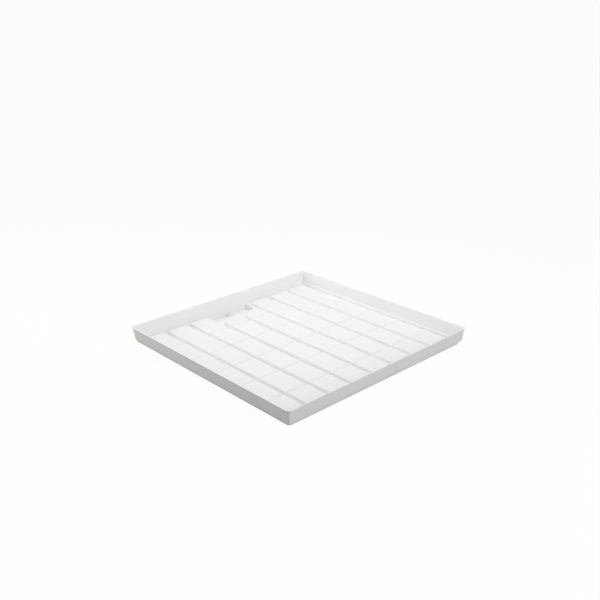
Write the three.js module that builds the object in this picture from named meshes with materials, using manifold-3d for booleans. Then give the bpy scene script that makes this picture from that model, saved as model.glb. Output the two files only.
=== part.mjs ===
// Square drainage tray: a formed sheet with a floor of pads and channels that
// lead to a recess in the middle of one side, and the outlet fitting in that recess.
// Millimetres, +Z up. The origin is in the middle of the tray, on the plane of its ribbed underside.
// The drain is on the +Y side, and the wide channels run along Y.

import * as THREE from 'three';
import { mergeVertices } from 'three/addons/utils/BufferGeometryUtils.js';
import Module from 'manifold-3d';

const wasm = await Module();
wasm.setup();

// Whole tray and the pattern of its floor
const side = 1000;
const sheet = 3;
const columns = 8;
const rows = 6;
const channelFloorWidth = 11;
const ridgeRise = 12.5;
const ridgeFlank = 3.5;
const ridgeCorner = 9;
const grooveWidth = 14;
const grooveDepth = 6;

// Channel round the floor, ledge beyond it, walls and rim
const gutterCorner = 4;
const wallSetback = 18;
const wallLean = 8;
const wallRise = 57;
const rimReach = 6;
const ledgeRadius = 4;
const coveRadius = 5.5;
const rimRadius = 5;

// Recess for the drain: a landing at channel level, then a deep pocket along the wall
const recessColumns = 2;
const landingLength = 60;
const pocketDepth = 24.5;
const pocketDraft = 3;
const pocketRadius = 4;

// Outlet fitting
const boreRadius = 8.5;
const threadRadius = 13;
const flangeRadius = 21;
const flangeThickness = 3.5;
const flangeMargin = 3;
const gasketThickness = 2.5;
const gasketInset = 1;
const washerThickness = 2;
const nutHeight = 9;
const nutSides = 6;
const nutAcrossFlats = 38;
const threadShown = 4;
const tailRadius = 9.8;
const tailLength = 34;
const barbCount = 4;
const barbRise = 1.2;

// Strainer
const domeRadius = 17;
const domeHeight = 9;
const domeWall = 1.8;
const skirtLength = 11;
const skirtWall = 1.6;
const crownRadius = 7.5;
const slotCount = 12;
const slotWidth = 2.2;

// Clearances and joins
const holeClearance = 0.6;
const threadClearance = 0.3;
const skirtClearance = 0.35;
const faceStep = 0.3;
const seamLap = 1;

// Levels and outlines that follow from the sizes above
const floorTop = sheet;
const padTop = floorTop + ridgeRise;
const rimTop = padTop + wallRise;
const gridHalf = side / 2 - wallSetback - wallLean - rimReach;
const columnPitch = 2 * gridHalf / columns;
const rowPitch = 2 * gridHalf / rows;
const wallSlope = wallLean / wallRise;
const wallAcross = sheet * Math.hypot(1, wallSlope);
const pocketFloor = floorTop - pocketDepth;
const wallFace = z => gridHalf + wallSetback + (z - padTop) * wallSlope;
const outletY = wallFace(pocketFloor) - pocketRadius - flangeMargin - flangeRadius;
const pocketNear = outletY - flangeRadius - flangeMargin - pocketRadius;
const pocketMouth = pocketNear - pocketDraft;
const pocketHalf = recessColumns * columnPitch / 2;
const sealRadius = flangeRadius - gasketInset;

// Facets
const cornerSegments = 6;
const padCornerSteps = 3;
const padRollSteps = 3;
const filletSteps = 4;
const grooveSteps = 4;
const holeSegments = 24;
const turnedSegments = 32;
const domeSegments = 36;
const domeArcSteps = 5;

// Solid from a closed geometry
function solid(geometry) {
  const bare = geometry.clone();
  bare.deleteAttribute('normal');
  bare.deleteAttribute('uv');
  const merged = mergeVertices(bare, 1e-4);
  return new wasm.Manifold(new wasm.Mesh({
    numProp: 3,
    vertProperties: Float32Array.from(merged.attributes.position.array),
    triVerts: Uint32Array.from(merged.index.array),
  }));
}

// Geometry from a solid
function surface(body) {
  const mesh = body.getMesh();
  const geometry = new THREE.BufferGeometry();
  geometry.setAttribute('position', new THREE.BufferAttribute(Float32Array.from(mesh.vertProperties), 3));
  geometry.setIndex(new THREE.BufferAttribute(Uint32Array.from(mesh.triVerts), 1));
  geometry.computeVertexNormals();
  return geometry;
}

const joined = bodies => bodies.reduce((whole, body) => whole.add(body));

function roundedRectangle(halfX, halfY, radius) {
  const shape = new THREE.Shape();
  shape.moveTo(halfX - radius, -halfY);
  shape.absarc(halfX - radius, -halfY + radius, radius, -Math.PI / 2, 0);
  shape.absarc(halfX - radius, halfY - radius, radius, 0, Math.PI / 2);
  shape.absarc(-halfX + radius, halfY - radius, radius, Math.PI / 2, Math.PI);
  shape.absarc(-halfX + radius, -halfY + radius, radius, Math.PI, Math.PI * 1.5);
  return shape;
}

// Flat-topped rise whose edge rolls down over its flank; its foot runs on below by sink
function plateau(halfX, halfY, corner, rise, sink) {
  return new THREE.ExtrudeGeometry(roundedRectangle(halfX, halfY, corner), {
    depth: sink,
    curveSegments: padCornerSteps,
    bevelEnabled: true,
    bevelThickness: rise,
    bevelSize: ridgeFlank,
    bevelOffset: -ridgeFlank,
    bevelSegments: padRollSteps,
  }).translate(0, 0, -sink);
}

// Bar along X with a section drawn in Y and Z
function barAlongX(section, halfLength, curveSegments) {
  const bar = new THREE.ExtrudeGeometry(section, {
    depth: 2 * halfLength,
    curveSegments,
    bevelEnabled: false,
  });
  bar.translate(0, 0, -halfLength);
  const alongX = new THREE.Matrix4().makeBasis(
    new THREE.Vector3(0, 1, 0),
    new THREE.Vector3(0, 0, 1),
    new THREE.Vector3(1, 0, 0),
  );
  return bar.applyMatrix4(alongX);
}

// Line through corners of [x, y, radius], with each corner that has a radius rolled over
function rolledLine(corners) {
  const points = corners.map(([x, y]) => new THREE.Vector2(x, y));
  const path = new THREE.Path();
  path.moveTo(points[0].x, points[0].y);
  for (let i = 1; i < points.length - 1; i++) {
    const back = points[i - 1].clone().sub(points[i]).normalize();
    const ahead = points[i + 1].clone().sub(points[i]).normalize();
    const turn = Math.PI - Math.acos(THREE.MathUtils.clamp(back.dot(ahead), -1, 1));
    const reach = corners[i][2] * Math.tan(turn / 2);
    const from = points[i].clone().addScaledVector(back, reach);
    const to = points[i].clone().addScaledVector(ahead, reach);
    path.lineTo(from.x, from.y);
    path.quadraticCurveTo(points[i].x, points[i].y, to.x, to.y);
  }
  const end = points[points.length - 1];
  path.lineTo(end.x, end.y);
  return path.getPoints(filletSteps);
}

// Ledge, wall and rim: one section of the sheet, turned round and then drawn apart to the four corners
function wallRing() {
  const edge = gutterCorner + channelFloorWidth / 2;
  const ledge = edge + ridgeFlank;
  const foot = gutterCorner + wallSetback;
  const head = foot + wallLean;
  const lip = head + rimReach;
  const flankSlope = ridgeFlank / ridgeRise;
  const flankShift = sheet * (Math.hypot(1, flankSlope) - flankSlope);
  const wallShift = wallAcross - sheet * wallSlope;
  const inside = rolledLine([
    [gutterCorner, floorTop],
    [edge, floorTop, 0],
    [ledge, padTop, ledgeRadius],
    [foot, padTop, coveRadius],
    [head, rimTop, rimRadius],
    [lip, rimTop],
  ]);
  const outside = rolledLine([
    [lip, rimTop - sheet],
    [head + wallShift, rimTop - sheet, rimRadius - sheet],
    [foot + wallShift, padTop - sheet, coveRadius + sheet],
    [ledge + flankShift, padTop - sheet, ledgeRadius - sheet],
    [edge + flankShift, 0, sheet],
    [gutterCorner, 0],
  ]);
  const segments = 4 * cornerSegments;
  const flatten = 1 / Math.cos(Math.PI / segments);
  const section = [...inside, ...outside, inside[0]].reverse();
  const points = section.map(p => new THREE.Vector2(p.x * flatten, p.y));
  const ring = new THREE.LatheGeometry(points, segments, Math.PI / segments).rotateX(Math.PI / 2);
  const position = ring.attributes.position;
  for (let i = 0; i < position.count; i++) {
    const x = position.getX(i);
    const y = position.getY(i);
    position.setX(i, x + Math.sign(x) * (gridHalf - gutterCorner));
    position.setY(i, y + Math.sign(y) * (gridHalf - gutterCorner));
  }
  return solid(ring);
}

// Middle and half length along Y of a column's ridge; the columns before the recess stop short of it
function ridgeSpan(column) {
  const low = -gridHalf + channelFloorWidth / 2;
  const facesRecess = Math.abs(columnMiddle(column)) < pocketHalf;
  const high = facesRecess ? pocketMouth - landingLength : gridHalf - channelFloorWidth / 2;
  return { middle: (low + high) / 2, half: (high - low) / 2 };
}

function columnMiddle(column) {
  return (column - (columns - 1) / 2) * columnPitch;
}

// Ridges of all columns, drawn in by inset all round and standing on the level base
function ridges(inset, base, sink) {
  const half = (columnPitch - channelFloorWidth) / 2 - inset;
  return joined(Array.from({ length: columns }, (_, column) => {
    const { middle, half: halfLength } = ridgeSpan(column);
    const ridge = plateau(half, halfLength - inset, ridgeCorner - inset, ridgeRise, sink);
    return solid(ridge.translate(columnMiddle(column), middle, base));
  }));
}

// Soft cross grooves between the rows of pads, sunk from the level top
function grooves(width, top) {
  const section = new THREE.Shape();
  section.moveTo(-width / 2, grooveDepth);
  section.lineTo(-width / 2, 0);
  section.bezierCurveTo(-width / 4, 0, -width / 4, -grooveDepth, 0, -grooveDepth);
  section.bezierCurveTo(width / 4, -grooveDepth, width / 4, 0, width / 2, 0);
  section.lineTo(width / 2, grooveDepth);
  return joined(Array.from({ length: rows - 1 }, (_, row) => {
    const bar = barAlongX(section, gridHalf, grooveSteps);
    return solid(bar.translate(0, (row + 1 - rows / 2) * rowPitch, top));
  }));
}

function sectionOf(points) {
  return new THREE.Shape(points.map(([y, z]) => new THREE.Vector2(y, z)));
}

// Pocket: the tray's wall carried on down, a floor for the outlet, a leaning near side
// and ends that close the ledge on both sides
function pocketShell() {
  const coveTop = padTop + coveRadius;
  const under = pocketFloor - sheet;
  const bury = floorTop / 2;
  const ledgeMiddle = padTop - sheet / 2;
  const edgeMiddle = gridHalf + channelFloorWidth / 2 + sheet / 2;
  const outerFace = z => wallFace(z) + wallAcross + faceStep;
  const middleFace = z => wallFace(z) + wallAcross / 2;
  const profile = rolledLine([
    [pocketMouth - sheet, bury],
    [pocketNear - sheet, under, pocketRadius + sheet],
    [outerFace(under), under, pocketRadius + sheet],
    [outerFace(coveTop), coveTop, 0],
    [middleFace(coveTop), coveTop, 0],
    [middleFace(ledgeMiddle), ledgeMiddle, coveRadius + sheet / 2],
    [edgeMiddle + ridgeFlank, ledgeMiddle, 0],
    [edgeMiddle, bury],
  ]).map(p => [p.x, p.y]);
  return solid(barAlongX(sectionOf(profile), pocketHalf + sheet, 1));
}

function pocketHollow() {
  const hollowTop = padTop + 2 * coveRadius;
  const profile = rolledLine([
    [pocketMouth, hollowTop],
    [pocketMouth, floorTop, 0],
    [pocketNear, pocketFloor, pocketRadius],
    [wallFace(pocketFloor) + faceStep, pocketFloor, pocketRadius],
    [wallFace(hollowTop) + faceStep, hollowTop],
  ]).map(p => [p.x, p.y]);
  return solid(barAlongX(sectionOf(profile), pocketHalf, 1));
}

function traySheet() {
  const plateOutline = roundedRectangle(gridHalf + seamLap, gridHalf + seamLap, gutterCorner + seamLap);
  const plate = new THREE.ExtrudeGeometry(plateOutline, {
    depth: sheet,
    curveSegments: padCornerSteps,
    bevelEnabled: false,
  });
  const below = new THREE.BoxGeometry(4 * gridHalf, 4 * gridHalf, 4 * rimTop).translate(0, 0, -2 * rimTop);
  const floor = solid(plate)
    .add(ridges(0, floorTop, sheet / 2).subtract(solid(below)))
    .subtract(grooves(grooveWidth, padTop));
  const hollows = ridges(sheet, 0, 4 * sheet).subtract(grooves(grooveWidth + 2 * sheet, padTop - sheet));
  const drainHole = new THREE.CylinderGeometry(
    threadRadius + holeClearance, threadRadius + holeClearance, pocketDepth, holeSegments,
  ).rotateX(Math.PI / 2).translate(0, outletY, pocketFloor);
  return wallRing().add(floor)
    .subtract(hollows)
    .add(pocketShell())
    .subtract(pocketHollow())
    .subtract(solid(drainHole));
}

// Turned piece from a closed outline of [radius, height]
function turned(outline, segments) {
  const points = [...outline, outline[0]].map(([radius, height]) => new THREE.Vector2(radius, height));
  return new THREE.LatheGeometry(points, segments).rotateX(Math.PI / 2);
}

function ringOutline(inner, outer, bottom, top) {
  return [[inner, bottom], [outer, bottom], [outer, top], [inner, top]];
}

// Levels of the outlet stack, from the pocket floor up and down
const gasketTop = pocketFloor + gasketThickness;
const flangeTop = gasketTop + flangeThickness;
const washerBottom = pocketFloor - sheet - washerThickness;
const nutBottom = washerBottom - nutHeight;
const threadEnd = nutBottom - threadShown;
const tailEnd = threadEnd - tailLength;

function outletBody() {
  const barb = tailLength / (barbCount + 1);
  const outline = [
    [boreRadius, flangeTop],
    [boreRadius, tailEnd],
    [tailRadius, tailEnd],
  ];
  for (let i = 1; i <= barbCount; i++) {
    outline.push([tailRadius + barbRise, tailEnd + i * barb], [tailRadius, tailEnd + i * barb]);
  }
  outline.push(
    [tailRadius, threadEnd],
    [threadRadius, threadEnd],
    [threadRadius, gasketTop],
    [flangeRadius, gasketTop],
    [flangeRadius, flangeTop - flangeThickness / 2],
    [flangeRadius - flangeThickness / 2, flangeTop],
  );
  return turned(outline, turnedSegments);
}

function gasketRing() {
  const outline = ringOutline(threadRadius + holeClearance, sealRadius, pocketFloor, gasketTop);
  return turned(outline, turnedSegments);
}

function washerRing() {
  const outline = ringOutline(threadRadius + holeClearance, sealRadius, washerBottom, pocketFloor - sheet);
  return turned(outline, turnedSegments);
}

function hexagonNut() {
  const acrossCorners = nutAcrossFlats / 2 / Math.cos(Math.PI / nutSides);
  const blank = new THREE.CylinderGeometry(acrossCorners, acrossCorners, nutHeight, nutSides)
    .rotateX(Math.PI / 2)
    .translate(0, 0, nutBottom + nutHeight / 2);
  const chamfer = acrossCorners - nutAcrossFlats / 2;
  const rounded = turned([
    [0, nutBottom],
    [acrossCorners - chamfer, nutBottom],
    [acrossCorners, nutBottom + chamfer],
    [acrossCorners, nutBottom + nutHeight],
    [0, nutBottom + nutHeight],
  ], holeSegments);
  const bore = new THREE.CylinderGeometry(
    threadRadius + threadClearance, threadRadius + threadClearance, 2 * nutHeight, turnedSegments,
  ).rotateX(Math.PI / 2).translate(0, 0, nutBottom + nutHeight / 2);
  return surface(solid(blank).intersect(solid(rounded)).subtract(solid(bore)));
}

// Dome with slots all round, on a skirt that is pushed into the bore
function slottedDome() {
  const skirtRadius = boreRadius - skirtClearance;
  const arc = (radius, height, from, to) => Array.from({ length: domeArcSteps + 1 }, (_, i) => {
    const angle = THREE.MathUtils.lerp(from, to, i / domeArcSteps);
    return [radius * Math.cos(angle), domeWall + height * Math.sin(angle)];
  });
  const outline = [
    [skirtRadius - skirtWall, domeWall],
    [skirtRadius - skirtWall, -skirtLength],
    [skirtRadius, -skirtLength],
    [skirtRadius, 0],
    [domeRadius, 0],
    [domeRadius, domeWall],
    ...arc(domeRadius, domeHeight - domeWall, 0, Math.PI / 2).slice(1),
    ...arc(domeRadius - domeWall, domeHeight - 2 * domeWall, Math.PI / 2, 0),
  ];
  const slotLength = domeRadius - crownRadius + domeWall;
  const slots = joined(Array.from({ length: slotCount }, (_, i) => {
    const slot = new THREE.BoxGeometry(slotLength, slotWidth, domeHeight)
      .translate(crownRadius + slotLength / 2, 0, domeWall + domeHeight / 2 + faceStep)
      .rotateZ(i / slotCount * 2 * Math.PI);
    return solid(slot);
  }));
  return surface(solid(turned(outline, domeSegments)).subtract(slots).translate([0, 0, flangeTop]));
}

function piece(name, geometry, colour, roughness) {
  const material = new THREE.MeshStandardMaterial({ color: colour, roughness, metalness: 0 });
  const mesh = new THREE.Mesh(geometry, material);
  mesh.name = name;
  return mesh;
}

const tray = new THREE.Group();
tray.add(piece('tray', surface(traySheet()), 0xf2f2f0, 0.35));

const outlet = new THREE.Group();
outlet.position.y = outletY;
outlet.add(
  piece('drain_body', outletBody(), 0xeeeeec, 0.3),
  piece('drain_gasket', gasketRing(), 0x2b2b2b, 0.8),
  piece('slip_washer', washerRing(), 0xe4e4e0, 0.4),
  piece('lock_nut', hexagonNut(), 0xeeeeec, 0.3),
  piece('drain_strainer', slottedDome(), 0xf0f0ee, 0.35),
);
tray.add(outlet);

export default tray;
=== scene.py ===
import math
from types import SimpleNamespace

import bmesh
import bpy
from bpy.props import FloatProperty, FloatVectorProperty, IntProperty, PointerProperty
from bpy.types import Operator, Panel, PropertyGroup
from mathutils import Matrix, Vector


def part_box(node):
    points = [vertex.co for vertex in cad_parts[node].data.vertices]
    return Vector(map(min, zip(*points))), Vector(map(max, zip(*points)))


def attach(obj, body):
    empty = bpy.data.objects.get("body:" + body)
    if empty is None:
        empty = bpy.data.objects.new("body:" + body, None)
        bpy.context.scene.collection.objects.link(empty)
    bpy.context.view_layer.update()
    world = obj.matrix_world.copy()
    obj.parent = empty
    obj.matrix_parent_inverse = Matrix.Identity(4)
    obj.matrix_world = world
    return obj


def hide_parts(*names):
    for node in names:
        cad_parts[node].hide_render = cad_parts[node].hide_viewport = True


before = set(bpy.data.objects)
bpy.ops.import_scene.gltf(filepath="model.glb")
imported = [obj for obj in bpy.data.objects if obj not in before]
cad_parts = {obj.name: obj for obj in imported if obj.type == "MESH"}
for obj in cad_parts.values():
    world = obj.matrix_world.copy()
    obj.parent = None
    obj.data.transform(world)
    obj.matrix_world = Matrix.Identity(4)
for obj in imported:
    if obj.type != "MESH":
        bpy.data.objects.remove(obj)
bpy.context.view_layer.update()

bl_info = {
    "name": "Drainage Tray",
    "version": (1, 0, 0),
    "blender": (4, 5, 0),
    "location": "View3D > Sidebar > Tray",
    "description": "Builds a formed drainage tray with its outlet around the packed frame",
    "category": "Object",
}

UP = Vector((0, 0, 1))

# Distances that count as none, and as the same place
TINY = 1e-6
CLOSE = 1e-5

# Cosines of faces that count as level, and of directions that count as one
LEVEL = 0.99
STRAIGHT = 0.9999

# Bend that counts as a sharp edge
SHARP = math.radians(40)

# Half the square patch that the drain hole is opened in, and its inset, in radii of the hole
PATCH_HALF = 1.4
PATCH_INSET = 0.07

# Steps of the rounded forms
PANEL_STEPS = 8
CORNER_STEPS = 6
FLANK_STEPS = 4
GROOVE_STEPS = 8
ROLL_STEPS = 5
EDGE_STEPS = 3
HOLE_CUTS = 8
TURNED_STEPS = 72
THREAD_STEPS = 48


def length(name, description, default):
    return FloatProperty(
        name=name, description=description, default=default, min=0, precision=4, unit="LENGTH"
    )


def offset(name, description, default):
    return FloatProperty(name=name, description=description, default=default, unit="LENGTH")


def count(name, description, default):
    return IntProperty(name=name, description=description, default=default, min=1)


def colour(name, description, default):
    return FloatVectorProperty(
        name=name, description=description, default=default, min=0, max=1, size=3, subtype="COLOR"
    )


def share(name, description, default):
    return FloatProperty(
        name=name, description=description, default=default, min=0, soft_max=1, subtype="FACTOR"
    )


def angle(name, description, degrees):
    return FloatProperty(
        name=name, description=description, default=math.radians(degrees), unit="ROTATION"
    )


def power(name, description, default):
    return FloatProperty(name=name, description=description, default=default, min=0, unit="POWER")


def place(name, description, default):
    return FloatVectorProperty(
        name=name, description=description, default=default, size=3, subtype="TRANSLATION"
    )


class SheetSettings(PropertyGroup):
    """Sizes and colours of the formed sheet."""

    sheet: length("Sheet", "Thickness of the sheet", 0.003)
    columns: count("Columns", "Columns of pads between the wide channels", 8)
    rows: count("Rows", "Rows of pads between the cross grooves", 6)
    channel_width: length("Channel width", "Width of a channel's floor", 0.011)
    ridge_rise: length("Ridge rise", "Height of the pads above the channels", 0.0125)
    ridge_lean: length("Ridge lean", "How far a ridge's flank leans in over its height", 0.0035)
    ridge_corner: length("Ridge corner", "Radius of a ridge's corners in plan", 0.009)
    ridge_cove: length("Ridge cove", "Hollow at the foot of a ridge", 0.002)
    pad_roll: length("Pad roll", "How far the upper edges of the ridges are rolled", 0.0038)
    groove_width: length("Groove width", "Width of a cross groove between its shoulders", 0.018)
    groove_depth: length("Groove depth", "Depth of a cross groove below the pads", 0.006)
    gutter_corner: length("Gutter corner", "Radius of the outer channel in the corners", 0.013)
    gutter_reach: length("Gutter reach", "From the outer channel's middle to the ledge", 0.0105)
    ledge_cove: length("Ledge cove", "Hollow at the foot of the ledge", 0.0015)
    ledge_lean: length("Ledge lean", "How far the ledge's flank leans out over its height", 0.0015)
    ledge_roll: length("Ledge roll", "How far the ledge's upper edge is rolled", 0.0028)
    wall_setback: length("Wall setback", "From the outer channel's middle to the wall", 0.018)
    wall_lean: length("Wall lean", "How far the wall leans out over its height", 0.008)
    wall_cove: length("Wall cove", "Hollow at the foot of the wall", 0.001)
    wall_corner: length("Wall corner", "Radius of the wall's corners at their foot", 0.003)
    rim_reach: length("Rim reach", "From the head of the wall to the edge of the rim", 0.006)
    rim_drop: length("Rim drop", "How far the rim's edge lies below the head of the wall", 0.0015)
    rim_roll: length("Rim roll", "How far the head of the wall is rolled", 0.0044)
    recess_columns: count("Recess columns", "Columns of pads that stop short of the drain", 2)
    landing_length: length("Landing length", "From the ends of those columns to the pocket", 0.057)
    pocket_draft: length("Pocket draft", "How far the pocket's sides lean in", 0.006)
    pocket_margin: length("Pocket margin", "From the outlet's flange to the pocket's side", 0.007)
    pocket_cove: length("Pocket cove", "Hollow round the pocket's floor", 0.0075)
    pocket_roll: length("Pocket roll", "How far the pocket's mouth is rolled", 0.0042)
    pocket_corner: length("Pocket corner", "Radius of the pocket's corners in plan", 0.0185)
    white: colour("White", "Colour of the sheet", (0.865, 0.865, 0.863))
    shade: colour("Shade", "Faint cloud of tone in the sheet", (0.838, 0.838, 0.835))


class OutletSettings(PropertyGroup):
    """Sizes and colours of the outlet and its strainer."""

    bore: length("Bore", "Radius of the bore", 0.0085)
    thread: length("Thread", "Radius of the threaded shank", 0.013)
    thread_pitch: length("Thread pitch", "Rise of one turn of thread", 0.002)
    thread_depth: length("Thread depth", "Height of the thread over its root", 0.0009)
    hole_clearance: length("Hole clearance", "Gap between the shank and its holes", 0.0006)
    flange_thickness: length("Flange thickness", "Height of the flange", 0.0035)
    tail: length("Tail", "Radius of the hose tail", 0.0098)
    tail_length: length("Tail length", "Length of the hose tail", 0.034)
    barbs: count("Barbs", "Barbs on the hose tail", 4)
    barb_rise: length("Barb rise", "Height of a barb", 0.0012)
    nut_rounding: length("Nut rounding", "Rounding of the nut's outer edges", 0.0012)
    dome_wall: length("Dome wall", "Thickness of the strainer", 0.0017)
    crown: length("Crown", "Radius of the strainer's closed crown", 0.0075)
    skirt: length("Skirt", "Radius of the strainer's skirt", 0.00815)
    slots: count("Slots", "Slots round the strainer", 12)
    moulded: colour("Moulded white", "Colour of the moulded pieces", (0.84, 0.84, 0.83))
    natural: colour("Natural", "Colour of the slip washer", (0.72, 0.71, 0.66))
    rubber: colour("Rubber", "Colour of the gasket", (0.022, 0.022, 0.023))


class StageSettings(PropertyGroup):
    """Camera, floor and light."""

    azimuth: angle("Azimuth", "Direction the camera looks from, about the upright", -42.54)
    elevation: angle("Elevation", "Height of the camera above the horizon", 21.93)
    roll: angle("Roll", "Turn of the camera about its own line of sight", -0.78)
    distance: length("Distance", "From the camera to what it looks at", 3.629)
    aim_right: offset("Aim right", "Aim across the view", 0.0137)
    aim_ahead: offset("Aim ahead", "Aim along the view", 0.3038)
    lens: FloatProperty(
        name="Lens", description="Focal length", default=47.89, min=1, unit="CAMERA"
    )
    floor_reach: length("Floor reach", "Half the floor's width", 150)
    floor_gap: length("Floor gap", "From the pocket to the floor round it", 0.008)
    floor_drop: length("Floor drop", "From the underside of the channels down to the floor", 0.0002)
    floor_white: share("Floor white", "How much of the floor's look is plain white", 0.95)
    floor_pale: colour("Floor pale", "Colour of the floor to the eye", (0.9, 0.9, 0.9))
    floor_tone: colour("Floor tone", "Colour of the light it throws back", (0.345, 0.315, 0.283))
    ambient: share("Ambient", "Strength of the light from all round", 0.414)
    left_power: power("Left", "Power of the light behind the left corner", 29.1)
    left_place: place("Left place", "Where the left light stands", (-1.92, 1.92, 1.27))
    front_power: power("Front", "Power of the light before the tray", 30.9)
    front_place: place("Front place", "Where the front light stands", (0.25, -2.71, 1.27))
    side_size: length("Side size", "Width of the lights that stand beside the tray", 1.8)
    drain_power: power("Drain side", "Power of the light over the drain side", 4.3)
    drain_place: place("Drain side place", "Where the drain side's light hangs", (0, 0.5, 1.3))
    right_power: power("Right", "Power of the light over the right side", 4.5)
    right_place: place("Right place", "Where the right light hangs", (0.5, 0, 1.3))
    over_size: length("Overhead size", "Width of the lights that hang over the tray", 0.9)


class TraySettings(PropertyGroup):
    """All settings of the tray."""

    sheet: PointerProperty(type=SheetSettings)
    outlet: PointerProperty(type=OutletSettings)
    stage: PointerProperty(type=StageSettings)


class Value:
    """Output of a node; sums and products of values add Math nodes."""

    def __init__(self, nodes, socket):
        self.nodes = nodes
        self.socket = socket

    def math(self, operation, first, second):
        inputs = {"Value": first, "Value_001": second}
        return self.nodes.add("ShaderNodeMath", {"operation": operation}, inputs, "Value")

    def __add__(self, other):
        return self.math("ADD", self, other)

    def __radd__(self, other):
        return self.math("ADD", other, self)

    def __sub__(self, other):
        return self.math("SUBTRACT", self, other)

    def __rsub__(self, other):
        return self.math("SUBTRACT", other, self)

    def __mul__(self, other):
        return self.math("MULTIPLY", self, other)

    def __rmul__(self, other):
        return self.math("MULTIPLY", other, self)


class Nodes:
    """Node tree of a material or of the world."""

    def __init__(self, owner):
        owner.use_nodes = True
        self.tree = owner.node_tree
        self.tree.nodes.clear()

    def add(self, kind, settings, inputs, output=None):
        node = self.tree.nodes.new(kind)
        for name, value in settings.items():
            setattr(node, name, value)
        sockets = {socket.identifier: socket for socket in node.inputs}
        for name, value in inputs.items():
            if isinstance(value, Value):
                self.tree.links.new(value.socket, sockets[name])
            else:
                sockets[name].default_value = value
        if output is None:
            return None
        return Value(self, next(socket for socket in node.outputs if socket.identifier == output))

    def noise(self, coordinates, scale, detail):
        inputs = {"Vector": coordinates, "Scale": scale, "Detail": detail}
        return self.add("ShaderNodeTexNoise", {}, inputs, "Fac")

    def blend(self, factor, first, second):
        return self.add(
            "ShaderNodeMix",
            {"data_type": "RGBA"},
            {"Factor_Float": factor, "A_Color": (*first, 1), "B_Color": (*second, 1)},
            "Result_Color",
        )

    def mix_shader(self, factor, first, second):
        inputs = {"Fac": factor, "Shader": first, "Shader_001": second}
        return self.add("ShaderNodeMixShader", {}, inputs, "Shader")

    def bump(self, height, distance, strength, normal=None):
        inputs = {"Height": height, "Distance": distance, "Strength": strength}
        if normal is not None:
            inputs["Normal"] = normal
        return self.add("ShaderNodeBump", {}, inputs, "Normal")


def plastic(
    name, base, tint, roughness, spread, grain_scale, grain_depth, cloud_scale, shine=0.5, coat=0
):
    """Finish with a faint cloud of tone, uneven gloss, a slow waviness and a fine grain."""
    material = bpy.data.materials.new(name)
    nodes = Nodes(material)
    coordinates = nodes.add("ShaderNodeTexCoord", {}, {}, "Object")
    cloud = nodes.noise(coordinates, cloud_scale, detail=3)
    sheen = nodes.noise(coordinates, cloud_scale * 5, detail=4)
    swell = nodes.noise(coordinates, cloud_scale * 3, detail=1)
    grain = nodes.noise(coordinates, grain_scale, detail=2)
    waves = nodes.bump(swell, distance=0.0012, strength=0.12)
    shader = nodes.add(
        "ShaderNodeBsdfPrincipled",
        {},
        {
            "Base Color": nodes.blend(cloud, base, tint),
            "Roughness": roughness + spread * (sheen - 0.5),
            "Specular IOR Level": shine,
            "Coat Weight": coat,
            "Coat Roughness": 0.2,
            "Normal": nodes.bump(grain, distance=grain_depth, strength=0.35, normal=waves),
        },
        "BSDF",
    )
    nodes.add("ShaderNodeOutputMaterial", {}, {"Surface": shader})
    return material


def link_piece(bm, name, material):
    """Object at the origin whose mesh holds its place."""
    mesh = bpy.data.meshes.new(name)
    bm.to_mesh(mesh)
    bm.free()
    mesh.shade_smooth()
    mesh.materials.append(material)
    piece = bpy.data.objects.new(name, mesh)
    bpy.context.scene.collection.objects.link(piece)
    return piece


def thicken(piece, wall):
    """Gives an outer face its wall, on its inner side."""
    modifier = piece.modifiers.new("Thickness", "SOLIDIFY")
    modifier.thickness = wall
    modifier.offset = -1
    modifier.use_even_offset = True


def even_normals(piece, rounding):
    """Rounds what is still sharp and lets the broad faces set the shading."""
    edges = piece.modifiers.new("Edges", "BEVEL")
    edges.width = rounding
    edges.segments = 2
    edges.limit_method = "ANGLE"
    edges.angle_limit = SHARP
    edges.profile = 0.5
    piece.modifiers.new("Normals", "WEIGHTED_NORMAL")


def bevel(bm, geometry, affect, reach, steps):
    bmesh.ops.bevel(
        bm,
        geom=geometry,
        offset=reach,
        offset_type="OFFSET",
        segments=steps,
        profile=0.5,
        affect=affect,
        clamp_overlap=False,
        material=-1,
    )


def roll(bm, edges, reach, steps):
    """Rolls edges over, in place."""
    bevel(bm, edges, "EDGES", reach, steps)


def round_corners(bm, verts, reach, steps):
    """Rounds the corners of flat outlines, in place."""
    bevel(bm, verts, "VERTICES", reach, steps)


def parts(faces):
    """Faces with their edges and corners."""
    edges = dict.fromkeys(e for f in faces for e in f.edges)
    verts = dict.fromkeys(v for f in faces for v in f.verts)
    return [*faces, *edges, *verts]


def every(face):
    return True


def cut(bm, axis, places, choose=every):
    """Cuts the chosen faces along planes across an axis."""
    normal = Vector((axis == "x", axis == "y", axis == "z"))
    for where in places:
        geometry = parts([f for f in bm.faces if choose(f)])
        bmesh.ops.bisect_plane(
            bm, geom=geometry, dist=TINY, plane_co=normal * where, plane_no=normal
        )


def near(first, second, within=CLOSE):
    return abs(first - second) < within


def middle(face):
    return face.calc_center_bounds()


def outlet_place():
    low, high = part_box("drain_body")
    return Vector((0, (low.y + high.y) / 2, 0))


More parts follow.
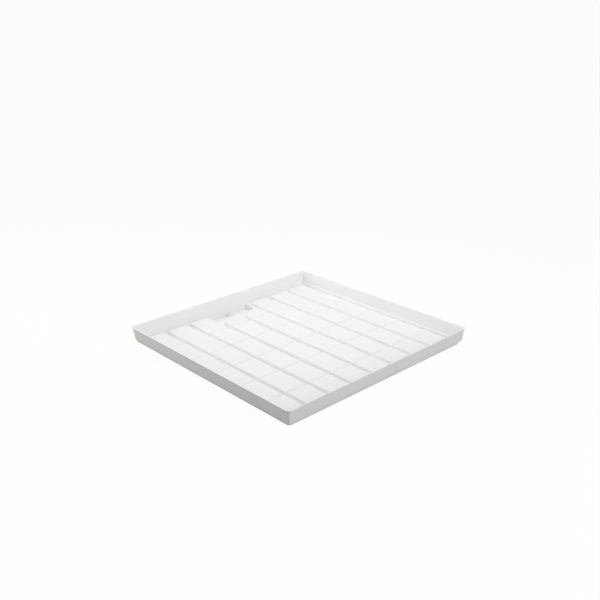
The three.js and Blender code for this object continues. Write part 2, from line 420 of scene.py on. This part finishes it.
def sheet_plan(sizes):
    """Levels and outlines of the sheet, from its sizes and the frame."""
    low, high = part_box("tray")
    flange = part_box("drain_body")[1].x
    plan = SimpleNamespace()
    plan.floor = sizes.sheet
    plan.pad = plan.floor + sizes.ridge_rise
    plan.rim = high.z
    plan.edge = plan.rim - sizes.rim_drop
    plan.half = high.x - sizes.wall_setback - sizes.wall_lean - sizes.rim_reach
    plan.wall = plan.half + sizes.wall_setback
    plan.core = plan.wall - sizes.wall_corner
    plan.ledge = plan.half + sizes.gutter_reach - sizes.ledge_cove
    plan.ledge_bend = plan.ledge - 2 * sizes.gutter_corner
    plan.foot = sizes.wall_corner
    plan.head = plan.foot + sizes.wall_lean
    plan.lip = plan.head + sizes.rim_reach
    plan.slope = sizes.wall_lean / (plan.rim - plan.pad)
    plan.column = 2 * plan.half / sizes.columns
    plan.row = 2 * plan.half / sizes.rows
    plan.outlet = outlet_place()
    plan.pocket_floor = low.z + sizes.sheet
    plan.pocket_half = sizes.recess_columns * plan.column / 2
    plan.pocket_front = plan.outlet.y - flange - sizes.pocket_margin - sizes.pocket_draft
    plan.pocket_mouth = plan.pocket_front - sizes.pocket_roll
    plan.recess_half = plan.pocket_half + sizes.channel_width / 4
    plan.recess_end = plan.pocket_front - sizes.landing_length + sizes.ridge_cove
    plan.ridge_half = (plan.column - sizes.channel_width) / 2 + sizes.ridge_cove
    plan.ridge_end = plan.half - sizes.channel_width / 2 + sizes.ridge_cove
    rows, columns = sizes.rows, sizes.columns
    plan.grooves = [(row + 1 - rows / 2) * plan.row for row in range(rows - 1)]
    plan.ridges = [(column + 0.5 - columns / 2) * plan.column for column in range(columns)]
    return plan


def rolled(corners, steps):
    """Line through (across, up, reach) corners, each rolled over as far as its reach."""
    line = [Vector(corners[0][:2])]
    for before, corner, after in zip(corners, corners[1:], corners[2:]):
        at, reach = Vector(corner[:2]), corner[2]
        start = at + (Vector(before[:2]) - at).normalized() * reach
        end = at + (Vector(after[:2]) - at).normalized() * reach
        for step in range(steps + 1):
            along = step / steps
            line.append(start.lerp(at, along).lerp(at.lerp(end, along), along))
    line.append(Vector(corners[-1][:2]))
    return line


def flank_line(foot, lean, head, height):
    """Line of (inset, height) up or down a leaning flank that is rolled at both ends."""
    corners = [(0, 0), (foot, 0, foot), (foot + lean, height, head), (foot + lean + head, height)]
    return rolled(corners, FLANK_STEPS)


def draw(bm, faces, line):
    """Draws faces up or down along a line of (inset, height); gives the flanks that it makes."""
    flanks = []
    for before, after in zip(line, line[1:]):
        step = after - before
        if step.length > TINY:
            made = bmesh.ops.inset_region(
                bm,
                faces=faces,
                thickness=step.x,
                depth=step.y,
                use_even_offset=True,
                use_boundary=False,
            )
            flanks += made["faces"]
    return flanks


def on_ridge(face, plan):
    return any(abs(middle(face).x - ridge) < plan.ridge_half for ridge in plan.ridges)


def before_drain(face, plan):
    return abs(middle(face).x) < plan.recess_half


def in_pocket(face, plan):
    return middle(face).y > plan.pocket_mouth and abs(middle(face).x) < plan.pocket_half


def on_ledge(face, plan):
    """Whether a face reaches one of the three walls that have a ledge."""
    return any(near(abs(v.co.x), plan.wall) or near(v.co.y, -plan.wall) for v in face.verts)


def straight(vert):
    """Whether a vertex only splits a straight line."""
    if len(vert.link_edges) != 2:
        return False
    first, second = (e.other_vert(vert).co - vert.co for e in vert.link_edges)
    return first.normalized().dot(second.normalized()) < -STRAIGHT


def drawn_out(plan, at, radius):
    """Place in plan, moved to a radius about the square core of the tray."""
    core = Vector(max(-plan.core, min(plan.core, c)) for c in at)
    return core + (at - core).normalized() * radius


def divide_panel(bm, plan):
    """Cuts the panel into ridges, ledge and pocket, and takes out the floor between them."""
    mouth, side = plan.pocket_mouth, plan.pocket_half
    flanks = [ridge + half for ridge in plan.ridges for half in (-plan.ridge_half, plan.ridge_half)]
    cut(bm, "x", [-plan.ledge, *flanks, plan.ledge])
    cut(bm, "y", [-plan.ledge], lambda f: abs(middle(f).x) < plan.ledge)
    cut(bm, "y", [-plan.ridge_end], lambda f: on_ridge(f, plan) and middle(f).y > -plan.ledge)
    cut(bm, "y", [plan.ridge_end], lambda f: on_ridge(f, plan) and not before_drain(f, plan))
    cut(bm, "y", [mouth], lambda f: before_drain(f, plan) and middle(f).y > -plan.ridge_end)
    cut(bm, "x", [-side, side], lambda f: before_drain(f, plan) and middle(f).y > mouth)
    cut(bm, "y", [plan.recess_end], lambda f: before_drain(f, plan) and on_ridge(f, plan))
    pocket = [f for f in bm.faces if in_pocket(f, plan)]
    ledge = [f for f in bm.faces if abs(middle(f).x) > plan.ledge or middle(f).y < -plan.ledge]
    ridges = []
    for face in bm.faces:
        end = plan.recess_end if before_drain(face, plan) else plan.ridge_end
        if on_ridge(face, plan) and -plan.ridge_end < middle(face).y < end:
            ridges.append(face)
    floor = [f for f in bm.faces if f not in pocket and f not in ledge and f not in ridges]
    for faces in (pocket, ledge):
        bmesh.ops.dissolve_faces(bm, faces=faces, use_verts=False)
    inner = [
        e
        for e in bm.edges
        if len(e.link_faces) == 2 and all(f in floor for f in e.link_faces)
    ]
    bmesh.ops.delete(bm, geom=floor, context="FACES_ONLY")
    bmesh.ops.delete(bm, geom=inner, context="EDGES")
    bmesh.ops.dissolve_verts(bm, verts=[v for v in bm.verts if straight(v)])


def round_outlines(bm, plan, sizes):
    """Rounds the ridges, the pocket and the ledge in plan."""
    ends = [
        v
        for v in bm.verts
        if near(v.co.y, plan.recess_end) or near(abs(v.co.y), plan.ridge_end)
    ]
    round_corners(bm, ends, sizes.ridge_corner + sizes.ridge_cove, CORNER_STEPS)
    mouth = [v for v in bm.verts if near(v.co.y, plan.pocket_mouth)]
    round_corners(bm, mouth, sizes.pocket_corner, CORNER_STEPS)
    turns = [v for v in bm.verts if near(v.co.y, -plan.ledge) and near(abs(v.co.x), plan.ledge)]
    round_corners(bm, turns, sizes.gutter_corner, PANEL_STEPS)


def fill_floor(bm, plan):
    """Fills the floor of the channels between the outlines."""

    def at_wall(edge):
        at = (edge.verts[0].co + edge.verts[1].co).xy / 2
        off = (drawn_out(plan, at, plan.foot) - at).length
        return max(abs(c) for c in at) > plan.core and near(off, 0, within=1e-4)

    outline = [e for e in bm.edges if not e.link_faces or (e.is_boundary and not at_wall(e))]
    bmesh.ops.triangle_fill(bm, edges=outline, use_beauty=True, normal=UP)


def sheet_outlines(bm, plan, sizes):
    """Flat faces of the pocket, the ridges and the ledges, with the floor between them."""
    panel = bmesh.ops.create_grid(bm, x_segments=1, y_segments=1, size=plan.wall)["verts"]
    bmesh.ops.translate(bm, verts=panel, vec=UP * plan.floor)
    round_corners(bm, panel, plan.foot, PANEL_STEPS)
    divide_panel(bm, plan)
    round_outlines(bm, plan, sizes)
    bend = plan.ledge_bend
    cut(bm, "y", [-bend], lambda f: on_ledge(f, plan))
    cut(bm, "x", [-bend, bend], lambda f: on_ledge(f, plan) and middle(f).y < -bend)
    pocket = next(f for f in bm.faces if in_pocket(f, plan))
    ledges = [f for f in bm.faces if on_ledge(f, plan)]
    ridges = [f for f in bm.faces if f not in (pocket, *ledges)]
    fill_floor(bm, plan)
    return pocket, ridges, ledges


def sink_grooves(bm, faces, plan, sizes):
    """Soft grooves across the ridges between the rows of pads."""
    geometry = parts(faces)
    half = sizes.groove_width / 2
    for groove in plan.grooves:
        for line in range(GROOVE_STEPS + 1):
            where = groove + half * (2 * line / GROOVE_STEPS - 1)
            geometry = bmesh.ops.bisect_plane(
                bm, geom=geometry, dist=TINY, plane_co=(0, where, 0), plane_no=(0, 1, 0)
            )["geom"]
    for vert in (v for v in geometry if isinstance(v, bmesh.types.BMVert)):
        off = min(abs(vert.co.y - groove) for groove in plan.grooves) / half
        if off < 1:
            dip = sizes.groove_depth / sizes.ridge_rise * (1 - off) ** 2
            vert.co.z -= (vert.co.z - plan.floor) * dip


def raise_walls(bm, plan, sizes):
    """Draws the open edge of the floor up to the walls and the rim, and rolls both turns."""

    def extrude(edges, radius, height):
        made = bmesh.ops.extrude_edge_only(bm, edges=edges)["geom"]
        for vert in (v for v in made if isinstance(v, bmesh.types.BMVert)):
            vert.co.xy = drawn_out(plan, vert.co.xy, radius)
            vert.co.z = height
        return [e for e in made if isinstance(e, bmesh.types.BMEdge)]

    def at_rim(vert):
        return vert.co.z > plan.edge - CLOSE

    def seam(edge):
        """Whether an edge between the corners only splits a flat face of the wall or the rim."""
        if len(edge.link_faces) != 2 or not any(at_rim(v) for v in edge.verts):
            return False
        if any(min(abs(v.co.x), abs(v.co.y)) >= plan.core - CLOSE for v in edge.verts):
            return False
        first, second = edge.link_faces
        return first.normal.dot(second.normal) > STRAIGHT

    foot = [e for e in bm.edges if e.is_boundary]
    extrude(extrude(foot, plan.head, plan.rim), plan.lip, plan.edge)
    for vert in {v for e in foot for v in e.verts}:
        vert.co.xy = drawn_out(plan, vert.co.xy, plan.foot + (vert.co.z - plan.pad) * plan.slope)
    bm.normal_update()
    bmesh.ops.dissolve_edges(bm, edges=[e for e in bm.edges if seam(e)], use_verts=False)
    spare = [v for v in bm.verts if at_rim(v) and len(v.link_edges) == 2]
    bmesh.ops.dissolve_verts(bm, verts=spare)
    bm.normal_update()
    head = [e for e in bm.edges if all(near(v.co.z, plan.rim) for v in e.verts)]
    roll(bm, head, sizes.rim_roll, ROLL_STEPS)
    roll(bm, foot, sizes.wall_cove, ROLL_STEPS)
    bm.normal_update()


def cut_drain_hole(bm, plan, radius):
    """Round hole in the pocket's floor for the outlet's shank."""

    def on_floor(face):
        return face.normal.z > LEVEL and all(near(v.co.z, plan.pocket_floor) for v in face.verts)

    reach = radius * PATCH_HALF
    bmesh.ops.dissolve_faces(bm, faces=[f for f in bm.faces if on_floor(f)], use_verts=True)
    bm.normal_update()
    cut(bm, "x", (-reach, reach), on_floor)
    bm.normal_update()
    cut(bm, "y", (plan.outlet.y - reach, plan.outlet.y + reach), on_floor)
    bm.normal_update()
    floor = [f for f in bm.faces if on_floor(f)]
    patch = min(floor, key=lambda f: (middle(f) - plan.outlet).xy.length)
    bmesh.ops.subdivide_edges(bm, edges=patch.edges[:], cuts=HOLE_CUTS)
    bmesh.ops.inset_individual(bm, faces=[patch], thickness=radius * PATCH_INSET)
    for vert in patch.verts:
        arm = vert.co.xy - plan.outlet.xy
        vert.co.xy = plan.outlet.xy + arm.normalized() * radius
    bmesh.ops.delete(bm, geom=[patch], context="FACES_ONLY")


def sheet_mesh(plan, sizes, hole):
    """Upper face of the formed sheet."""
    bm = bmesh.new()
    pocket, ridges, ledges = sheet_outlines(bm, plan, sizes)
    ridge_line = flank_line(sizes.ridge_cove, sizes.ridge_lean, sizes.pad_roll, sizes.ridge_rise)
    ledge_line = flank_line(sizes.ledge_cove, sizes.ledge_lean, sizes.ledge_roll, sizes.ridge_rise)
    depth = plan.pocket_floor - plan.floor
    pocket_line = flank_line(sizes.pocket_roll, sizes.pocket_draft, sizes.pocket_cove, depth)
    flanks = draw(bm, ridges, ridge_line)
    sink_grooves(bm, ridges + flanks, plan, sizes)
    draw(bm, ledges, ledge_line)
    draw(bm, [pocket], pocket_line)
    raise_walls(bm, plan, sizes)
    cut_drain_hole(bm, plan, hole)
    return bm


class TRAY_OT_sheet(Operator):
    """Form the sheet: floor, walls, rim and recess"""

    bl_idname = "tray.sheet"
    bl_label = "Formed Sheet"

    def execute(self, context):
        sizes = context.scene.drainage_tray.sheet
        outlet = context.scene.drainage_tray.outlet
        bm = sheet_mesh(sheet_plan(sizes), sizes, outlet.thread + outlet.hole_clearance)
        finish = plastic(
            "white_formed_sheet",
            sizes.white,
            sizes.shade,
            roughness=0.48,
            spread=0.12,
            grain_scale=1500,
            grain_depth=0.00006,
            cloud_scale=4,
            shine=0.32,
        )
        piece = link_piece(bm, "tray_sheet", finish)
        thicken(piece, sizes.sheet)
        even_normals(piece, rounding=0.0005)
        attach(piece, "tray")
        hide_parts("tray")
        return {"FINISHED"}


def spun(outline):
    """Ring spun from a closed outline of (radius, height, rounding) corners."""
    bm = bmesh.new()
    corners = [bm.verts.new((radius, 0, height)) for radius, height, rounding in outline]
    bm.faces.new(corners)
    for corner, (radius, height, rounding) in zip(corners, outline):
        if rounding:
            round_corners(bm, [corner], rounding, EDGE_STEPS)
    bmesh.ops.delete(bm, geom=bm.faces[:], context="FACES_ONLY")
    spin_round(bm, TURNED_STEPS)
    return bm


def spin_round(bm, steps):
    """Full turn of a line about the upright."""
    bmesh.ops.spin(
        bm,
        geom=bm.verts[:] + bm.edges[:],
        cent=(0, 0, 0),
        axis=UP,
        angle=math.tau,
        steps=steps,
        use_merge=True,
    )
    bmesh.ops.remove_doubles(bm, verts=bm.verts, dist=TINY)
    bmesh.ops.recalc_face_normals(bm, faces=bm.faces)


def stand_for(bm, name, material, body, node):
    """Piece of the outlet, moved to its place, that stands for a node."""
    bmesh.ops.translate(bm, verts=bm.verts, vec=outlet_place())
    piece = link_piece(bm, name, material)
    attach(piece, body)
    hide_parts(node)
    return piece


def moulded_white(outlet):
    """Finish of the white mouldings, made once."""
    name = "moulded_white_plastic"
    found = bpy.data.materials.get(name)
    if found:
        return found
    return plastic(
        name,
        outlet.moulded,
        tint=[0.965 * c for c in outlet.moulded],
        roughness=0.28,
        spread=0.1,
        grain_scale=2500,
        grain_depth=0.00003,
        cloud_scale=40,
        coat=0.15,
    )


def body_mesh(outlet):
    """Flange, threaded shank and barbed tail round the bore."""
    low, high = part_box("drain_body")
    tail_top = low.z + outlet.tail_length
    seat = high.z - outlet.flange_thickness
    root = outlet.thread - outlet.thread_depth
    tip = outlet.tail + outlet.barb_rise
    step = outlet.tail_length / (outlet.barbs + 1)
    outline = [
        (outlet.bore, high.z, 0.0008),
        (outlet.bore, low.z, 0.0004),
        (outlet.tail, low.z, 0.0005),
    ]
    for barb in range(1, outlet.barbs + 1):
        height = low.z + barb * step
        outline += [(tip, height, 0.0003), (outlet.tail, height, 0.0004)]
    outline += [
        (outlet.tail, tail_top, 0),
        (root, tail_top, 0.0006),
        (root, seat, 0),
        (high.x, seat, 0.0004),
        (high.x, high.z, outlet.flange_thickness / 2),
    ]
    return spun(outline)


def thread_mesh(outlet):
    """Helical thread on the shank, from its end up into the nut."""
    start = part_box("drain_body")[0].z + outlet.tail_length + outlet.thread_pitch / 2
    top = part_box("lock_nut")[0].z + 2 * outlet.thread_pitch
    root = outlet.thread - outlet.thread_depth
    inside = root - outlet.thread_depth / 4
    foot, crest = 0.42 * outlet.thread_pitch, 0.1 * outlet.thread_pitch
    section = [(inside, -foot), (outlet.thread, -crest), (outlet.thread, crest), (inside, foot)]
    bm = bmesh.new()
    corners = [bm.verts.new((radius, 0, start + height)) for radius, height in section]
    edges = [bm.edges.new((corners[i - 1], corners[i])) for i in range(len(corners))]
    turns = (top - start) / outlet.thread_pitch
    steps = round(THREAD_STEPS * turns)
    bmesh.ops.spin(
        bm,
        geom=corners + edges,
        cent=(0, 0, 0),
        axis=UP,
        dvec=UP * ((top - start) / steps),
        angle=math.tau * turns,
        steps=steps,
    )
    for corner in corners[1:3]:
        corner.co.x = root
    bmesh.ops.holes_fill(bm, edges=bm.edges[:], sides=0)
    bmesh.ops.recalc_face_normals(bm, faces=bm.faces)
    return bm


class TRAY_OT_outlet_body(Operator):
    """Turn the outlet with its flange, thread and hose tail"""

    bl_idname = "tray.outlet_body"
    bl_label = "Outlet"

    def execute(self, context):
        outlet = context.scene.drainage_tray.outlet
        finish = moulded_white(outlet)
        body = body_mesh(outlet)
        piece = stand_for(body, "outlet_body", finish, "tray", "drain_body")
        even_normals(piece, rounding=0.0003)
        thread = thread_mesh(outlet)
        bmesh.ops.translate(thread, verts=thread.verts, vec=outlet_place())
        helix = link_piece(thread, "outlet_thread", finish)
        even_normals(helix, rounding=0.0001)
        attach(helix, "tray")
        return {"FINISHED"}


def ring_mesh(node, inner, rounding):
    """Flat ring as large as a node, with rounded edges."""
    low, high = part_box(node)
    corners = [(inner, low.z), (high.x, low.z), (high.x, high.z), (inner, high.z)]
    return spun([(*corner, rounding) for corner in corners])


class TRAY_OT_seals(Operator):
    """Lay the gasket above the sheet and the slip washer below it"""

    bl_idname = "tray.seals"
    bl_label = "Gasket and Washer"

    def execute(self, context):
        outlet = context.scene.drainage_tray.outlet
        inner = outlet.thread + outlet.hole_clearance
        rubber = plastic(
            "black_rubber",
            outlet.rubber,
            tint=[0.05 + 0.9 * c for c in outlet.rubber],
            roughness=0.75,
            spread=0.15,
            grain_scale=3000,
            grain_depth=0.00005,
            cloud_scale=90,
        )
        ring = ring_mesh("drain_gasket", inner, rounding=0.0009)
        gasket = stand_for(ring, "gasket", rubber, "tray", "drain_gasket")
        even_normals(gasket, rounding=0.0001)
        natural = plastic(
            "natural_plastic",
            outlet.natural,
            tint=[0.93 * c for c in outlet.natural],
            roughness=0.42,
            spread=0.1,
            grain_scale=2500,
            grain_depth=0.00003,
            cloud_scale=60,
        )
        ring = ring_mesh("slip_washer", inner, rounding=0.0003)
        washer = stand_for(ring, "washer", natural, "tray", "slip_washer")
        even_normals(washer, rounding=0.0001)
        return {"FINISHED"}


def nut_mesh(outlet):
    """Hexagon nut with rounded corners and a relieved bore."""
    low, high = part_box("lock_nut")
    flats, per_flat = 6, 8
    corner = (high.y - low.y) / 2
    hole = outlet.thread + outlet.hole_clearance / 2
    at = Matrix.Translation(UP * low.z) @ Matrix.Rotation(math.pi / 2, 4, "Z")

    def level(edge):
        return near(edge.verts[0].co.z, edge.verts[1].co.z)

    def sharp(edge):
        return edge.calc_face_angle(0) > SHARP

    bm = bmesh.new()
    bmesh.ops.create_circle(bm, radius=corner, segments=flats, matrix=at)
    bmesh.ops.subdivide_edges(bm, edges=bm.edges[:], cuts=per_flat - 1)
    bmesh.ops.create_circle(bm, radius=hole, segments=flats * per_flat, matrix=at)
    faces = bmesh.ops.bridge_loops(bm, edges=bm.edges[:])["faces"]
    raised = bmesh.ops.extrude_face_region(bm, geom=faces)["geom"]
    top = [v for v in raised if isinstance(v, bmesh.types.BMVert)]
    bmesh.ops.translate(bm, verts=top, vec=UP * (high.z - low.z))
    bmesh.ops.recalc_face_normals(bm, faces=bm.faces)
    bm.normal_update()
    upright = [e for e in bm.edges if sharp(e) and not level(e)]
    roll(bm, upright, outlet.nut_rounding, FLANK_STEPS)
    bm.normal_update()
    ends = [e for e in bm.edges if sharp(e) and level(e)]
    roll(bm, ends, outlet.nut_rounding / 2, EDGE_STEPS)
    return bm


class TRAY_OT_nut(Operator):
    """Make the nut that pulls the outlet down on its gasket"""

    bl_idname = "tray.nut"
    bl_label = "Lock Nut"

    def execute(self, context):
        outlet = context.scene.drainage_tray.outlet
        finish = moulded_white(outlet)
        piece = stand_for(nut_mesh(outlet), "nut", finish, "tray", "lock_nut")
        even_normals(piece, rounding=0.0001)
        return {"FINISHED"}


def strainer_mesh(outlet):
    """Outer face of the slotted dome and of its skirt."""
    low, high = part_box("drain_strainer")
    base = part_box("drain_body")[1].z
    edge = base + outlet.dome_wall
    arc, per_slot = 10, 8
    line = []
    for step in range(arc + 1):
        turn = math.pi / 2 * step / arc
        line.append((high.x * math.sin(turn), edge + (high.z - edge) * math.cos(turn)))
    line += [(high.x, base), (outlet.skirt, base), (outlet.skirt, low.z)]
    bm = bmesh.new()
    corners = [bm.verts.new((radius, 0, height)) for radius, height in line]
    for first, second in zip(corners, corners[1:]):
        bm.edges.new((first, second))
    spin_round(bm, outlet.slots * per_slot)
    pitch = math.tau / outlet.slots
    slot_share = 2 / per_slot
    slots = []
    for face in bm.faces:
        at = face.calc_center_median()
        turn = (math.atan2(at.y, at.x) % pitch) / pitch
        if turn < slot_share and at.z > edge and at.xy.length > outlet.crown:
            slots.append(face)
    bmesh.ops.delete(bm, geom=slots, context="FACES")
    if next(f for f in bm.faces if near(f.calc_center_median().z, base)).normal.z > 0:
        bmesh.ops.reverse_faces(bm, faces=bm.faces[:])
    return bm


class TRAY_OT_strainer(Operator):
    """Make the slotted dome that lifts out of the outlet"""

    bl_idname = "tray.strainer"
    bl_label = "Strainer"

    def execute(self, context):
        outlet = context.scene.drainage_tray.outlet
        finish = moulded_white(outlet)
        dome = strainer_mesh(outlet)
        piece = stand_for(dome, "strainer", finish, "strainer", "drain_strainer")
        thicken(piece, outlet.dome_wall)
        even_normals(piece, rounding=0.0003)
        return {"FINISHED"}


class TRAY_OT_stage(Operator):
    """Set the camera, the floor and the light"""

    bl_idname = "tray.stage"
    bl_label = "Stage"

    def execute(self, context):
        stage = context.scene.drainage_tray.stage
        scene = context.scene
        scene.view_settings.view_transform = "Standard"
        self.set_camera(scene, stage)
        self.lay_floor(scene, stage)
        self.set_world(scene, stage)
        self.hang_light(scene, "left_light", stage.left_place, stage.side_size, stage.left_power)
        self.hang_light(scene, "front_light", stage.front_place, stage.side_size, stage.front_power)
        self.hang_light(scene, "drain_light", stage.drain_place, stage.over_size, stage.drain_power)
        self.hang_light(scene, "right_light", stage.right_place, stage.over_size, stage.right_power)
        return {"FINISHED"}

    def seen(self, nodes):
        """One where the camera, a gloss or a clear material looks at the surface."""
        rays = ("Is Camera Ray", "Is Glossy Ray", "Is Transmission Ray")
        camera, gloss, clear = (nodes.add("ShaderNodeLightPath", {}, {}, ray) for ray in rays)
        return camera + gloss + clear

    def lay_floor(self, scene, stage):
        """Pale floor as high as the bench, open under the drain pocket."""
        sheet = scene.drainage_tray.sheet
        plan = sheet_plan(sheet)
        margin = sheet.sheet + stage.floor_gap
        side = plan.pocket_half + margin
        bm = bmesh.new()
        bmesh.ops.create_grid(bm, x_segments=1, y_segments=1, size=stage.floor_reach)
        bmesh.ops.translate(bm, verts=bm.verts, vec=(0, 0, -stage.floor_drop))
        cut(bm, "x", (-side, side))
        cut(bm, "y", (plan.pocket_front - margin, plan.wall + margin))
        opening = min(bm.faces, key=lambda f: (middle(f) - plan.outlet).length)
        bmesh.ops.delete(bm, geom=[opening], context="FACES_ONLY")
        material = bpy.data.materials.new("pale_floor")
        nodes = Nodes(material)
        white = {"Color": (1, 1, 1, 1), "Strength": 1}
        pale = nodes.add("ShaderNodeBsdfDiffuse", {}, {"Color": (*stage.floor_pale, 1)}, "BSDF")
        glow = nodes.add("ShaderNodeEmission", {}, white, "Emission")
        matt = nodes.add("ShaderNodeBsdfDiffuse", {}, {"Color": (*stage.floor_tone, 1)}, "BSDF")
        look = nodes.mix_shader(stage.floor_white, pale, glow)
        surface = nodes.mix_shader(self.seen(nodes), matt, look)
        nodes.add("ShaderNodeOutputMaterial", {}, {"Surface": surface})
        link_piece(bm, "floor", material)

    def set_world(self, scene, stage):
        """White to the eye, softer as a light."""
        world = bpy.data.worlds.new("studio")
        nodes = Nodes(world)
        seen = self.seen(nodes)
        white = {"Color": (1, 1, 1, 1), "Strength": seen + (1 - seen) * stage.ambient}
        light = nodes.add("ShaderNodeBackground", {}, white, "Background")
        nodes.add("ShaderNodeOutputWorld", {}, {"Surface": light})
        scene.world = world

    def hang_light(self, scene, name, where, size, watts):
        """Square soft light that faces the middle of the tray."""
        data = bpy.data.lights.new(name, "AREA")
        data.shape = "SQUARE"
        data.size = size
        data.energy = watts
        light = bpy.data.objects.new(name, data)
        light.location = where
        light.rotation_euler = (-Vector(where)).to_track_quat("-Z", "Y").to_euler()
        scene.collection.objects.link(light)

    def set_camera(self, scene, stage):
        turn, tilt = stage.azimuth, stage.elevation
        level = Vector((math.cos(turn), math.sin(turn), 0))
        ahead = Vector((-math.sin(turn), math.cos(turn), 0))
        back = Vector((
            math.sin(turn) * math.cos(tilt),
            -math.cos(turn) * math.cos(tilt),
            math.sin(tilt),
        ))
        upright = back.cross(level)
        right = level * math.cos(stage.roll) + upright * math.sin(stage.roll)
        up = upright * math.cos(stage.roll) - level * math.sin(stage.roll)
        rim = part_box("tray")[1].z
        aim = level * stage.aim_right + ahead * stage.aim_ahead + UP * rim
        eye = aim + back * stage.distance
        data = bpy.data.cameras.new("camera")
        data.lens = stage.lens
        camera = bpy.data.objects.new("camera", data)
        camera.matrix_world = Matrix((
            (right.x, up.x, back.x, eye.x),
            (right.y, up.y, back.y, eye.y),
            (right.z, up.z, back.z, eye.z),
            (0, 0, 0, 1),
        ))
        scene.collection.objects.link(camera)
        scene.camera = camera


class TRAY_PT_panel(Panel):
    """List the tray's operators"""

    bl_idname = "TRAY_PT_panel"
    bl_label = "Drainage Tray"
    bl_space_type = "VIEW_3D"
    bl_region_type = "UI"
    bl_category = "Tray"

    def draw(self, context):
        for operator in PIECES:
            self.layout.operator(operator.bl_idname)


PIECES = (
    TRAY_OT_sheet,
    TRAY_OT_outlet_body,
    TRAY_OT_seals,
    TRAY_OT_nut,
    TRAY_OT_strainer,
    TRAY_OT_stage,
)
CLASSES = (SheetSettings, OutletSettings, StageSettings, TraySettings, *PIECES, TRAY_PT_panel)


def register():
    for entry in CLASSES:
        bpy.utils.register_class(entry)
    bpy.types.Scene.drainage_tray = PointerProperty(type=TraySettings)


def unregister():
    del bpy.types.Scene.drainage_tray
    for entry in reversed(CLASSES):
        bpy.utils.unregister_class(entry)


def main():
    register()
    bpy.ops.tray.sheet()
    bpy.ops.tray.outlet_body()
    bpy.ops.tray.seals()
    bpy.ops.tray.nut()
    bpy.ops.tray.strainer()
    bpy.ops.tray.stage()


if __name__ == "__main__":
    main()
